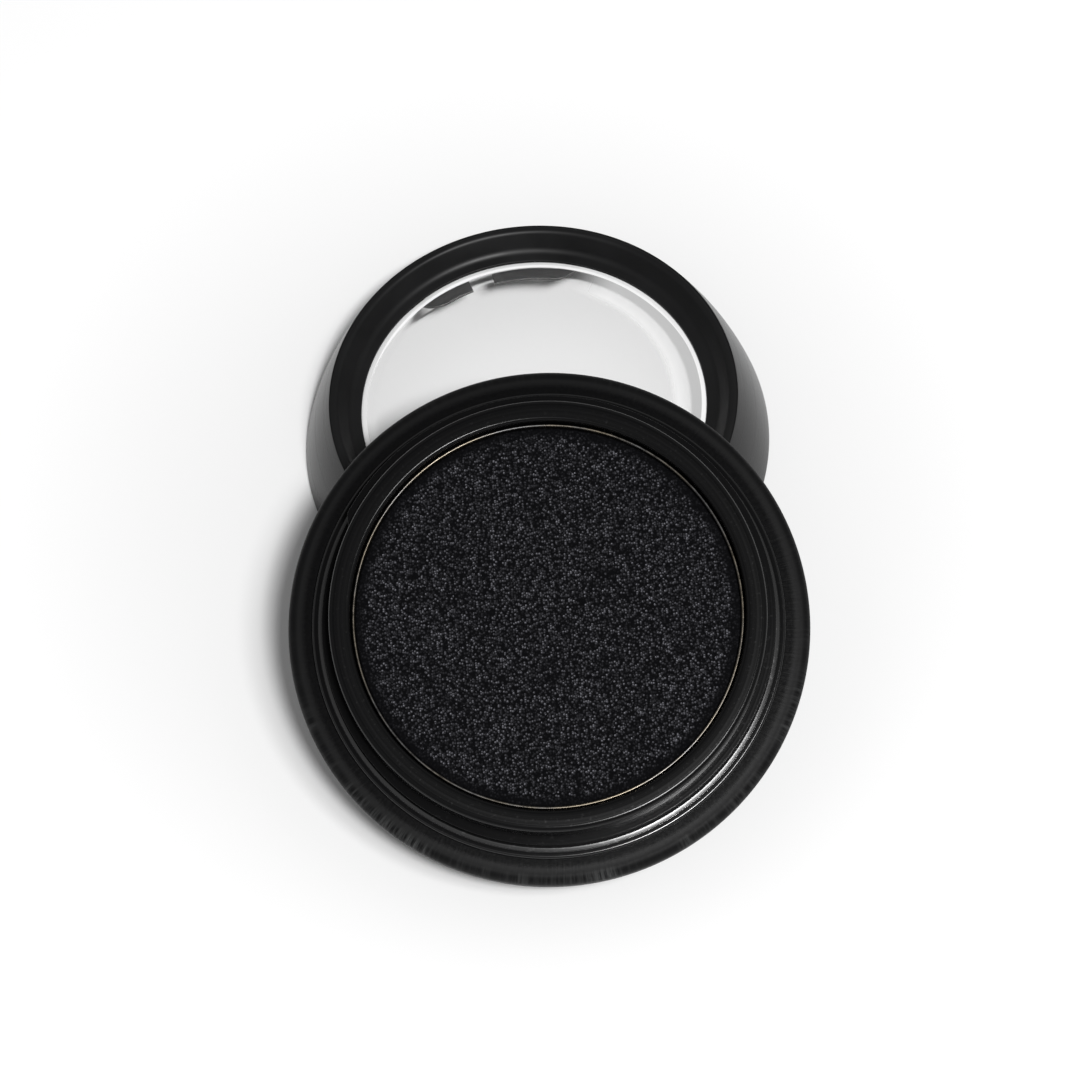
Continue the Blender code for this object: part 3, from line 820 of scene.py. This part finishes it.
def make_pot():
    shell = turned("base_shell_skin", base_outline(), POT_PLACE)
    finish_piece(shell, base_material(), "pot", "base_shell")
    gloss = neck_material()
    neck = turned("neck_insert_skin", neck_outline(), POT_PLACE)
    finish_piece(neck, gloss, "pot", "neck_insert")
    finish_piece(neck_ridge_mesh(), gloss, "pot", "neck_insert")
    dot_outline = disc_outline(ADHESIVE_RADIUS, ADHESIVE_TOP, ADHESIVE_BOTTOM, CRISP)
    dot = turned("pan_adhesive_dot", dot_outline, POT_PLACE)
    tacky = plain_material("adhesive_film", ADHESIVE_TONES, 500, (0.35, 0.6), 0.01 * MM, turn=POT_TURN)
    finish_piece(dot, tacky, "pot", "pan_adhesive")
    label_outline = disc_outline(LABEL_RADIUS, LABEL_THICKNESS - FOOT_DEPTH, -FOOT_DEPTH, KEEN)
    label = turned("base_label_blank", label_outline, POT_PLACE)
    paper = plain_material("label_black_paper", LABEL_TONES, 900, (0.55, 0.75), 0.006 * MM, 0.3, POT_TURN)
    finish_piece(label, paper, "pot", "base_label")


def make_refill():
    pan = turned("pan_metal_cup", pan_outline(), POT_PLACE)
    finish_piece(pan, pan_material(), "refill", "pan")
    cake = turned("powder_pressed_cake", powder_outline(), POT_PLACE, lift=powder_unevenness)
    finish_piece(cake, powder_material(), "refill", "powder_cake")


# ---------------------------------------------------------------- studio

CAMERA_DISTANCE = 260 * MM
CAMERA_ELEVATION = math.radians(60.04)
CAMERA_ROLL = math.radians(-5.67)
CAMERA_AIM_FROM_LID = Vector((-0.52, -8.28, 0)) * MM
CAMERA_LENS = 122.07
CAMERA_CLIP = (0.01, 20)
SENSOR_WIDTH = 36.0
LAMP_DISTANCE = 0.6
LAMPS = (("key", -72, 61, 0.08, 2.45), ("side", -55, 62, 0.10, 1.05))
FLOOR_HALF_WIDTH = 2.0
FLOOR_DROP = 0.01 * MM
WORLD_STRENGTH = 0.78
WORLD_STOPS = ((0.0, 0.12), (0.32, 0.42), (0.86, 0.48), (0.94, 0.05))


def make_camera():
    camera = bpy.data.cameras.new("camera")
    camera.lens = CAMERA_LENS
    camera.sensor_width = SENSOR_WIDTH
    camera.clip_start, camera.clip_end = CAMERA_CLIP
    back = Vector((0, -math.cos(CAMERA_ELEVATION), math.sin(CAMERA_ELEVATION)))
    level = Vector((1, 0, 0))
    upright = back.cross(level)
    right = math.cos(CAMERA_ROLL) * level + math.sin(CAMERA_ROLL) * upright
    up = -math.sin(CAMERA_ROLL) * level + math.cos(CAMERA_ROLL) * upright
    rig = bpy.data.objects.new("camera", camera)
    bpy.context.scene.collection.objects.link(rig)
    turn = Matrix((right, up, back)).transposed().to_4x4()
    stand = LID_CENTRE + CAMERA_AIM_FROM_LID + back * CAMERA_DISTANCE
    rig.matrix_world = Matrix.Translation(stand) @ turn
    bpy.context.scene.camera = rig


def make_floor():
    reach = FLOOR_HALF_WIDTH
    mesh = bpy.data.meshes.new("floor")
    corners = [(-reach, -reach, 0), (reach, -reach, 0), (reach, reach, 0), (-reach, reach, 0)]
    mesh.from_pydata(corners, [], [(0, 1, 2, 3)])
    floor = bpy.data.objects.new("floor", mesh)
    floor.location.z = -FLOOR_DROP
    bpy.context.scene.collection.objects.link(floor)
    floor.data.materials.append(floor_material())


def make_lamp(name, azimuth_deg, elevation_deg, size, power):
    """A round lamp that faces the object. Azimuth is measured from +X towards +Y."""
    lamp = bpy.data.lights.new(name, "AREA")
    lamp.shape = "DISK"
    lamp.size = size
    lamp.energy = power
    rig = bpy.data.objects.new(name, lamp)
    bpy.context.scene.collection.objects.link(rig)
    azimuth, elevation = math.radians(azimuth_deg), math.radians(elevation_deg)
    level = math.cos(elevation)
    towards = Vector((level * math.cos(azimuth), level * math.sin(azimuth), math.sin(elevation)))
    facing = towards.to_track_quat("Z", "Y").to_matrix().to_4x4()
    rig.matrix_world = Matrix.Translation(towards * LAMP_DISTANCE) @ facing


def make_world():
    """A dim studio: a belt of soft light on the walls, under a dark ceiling."""
    world = bpy.data.worlds.new("studio")
    bpy.context.scene.world = world
    world.use_nodes = True
    tree = world.node_tree
    background = tree.nodes["Background"]
    coordinates = tree.nodes.new("ShaderNodeTexCoord")
    parts = tree.nodes.new("ShaderNodeSeparateXYZ")
    ramp = tree.nodes.new("ShaderNodeValToRGB")
    ramp.color_ramp.interpolation = "EASE"
    while len(ramp.color_ramp.elements) < len(WORLD_STOPS):
        ramp.color_ramp.elements.new(0.5)
    for element, (position, level) in zip(ramp.color_ramp.elements, WORLD_STOPS):
        element.position = position
        element.color = (level, level, level, 1)
    tree.links.new(coordinates.outputs["Generated"], parts.inputs[0])
    tree.links.new(parts.outputs[2], ramp.inputs[0])
    tree.links.new(ramp.outputs[0], background.inputs["Color"])
    background.inputs["Strength"].default_value = WORLD_STRENGTH


make_camera()
make_floor()
make_world()
for lamp_settings in LAMPS:
    make_lamp(*lamp_settings)
make_lid()
make_pot()
make_refill()

view = bpy.context.scene.view_settings
view.view_transform = "Standard"
view.look = "None"
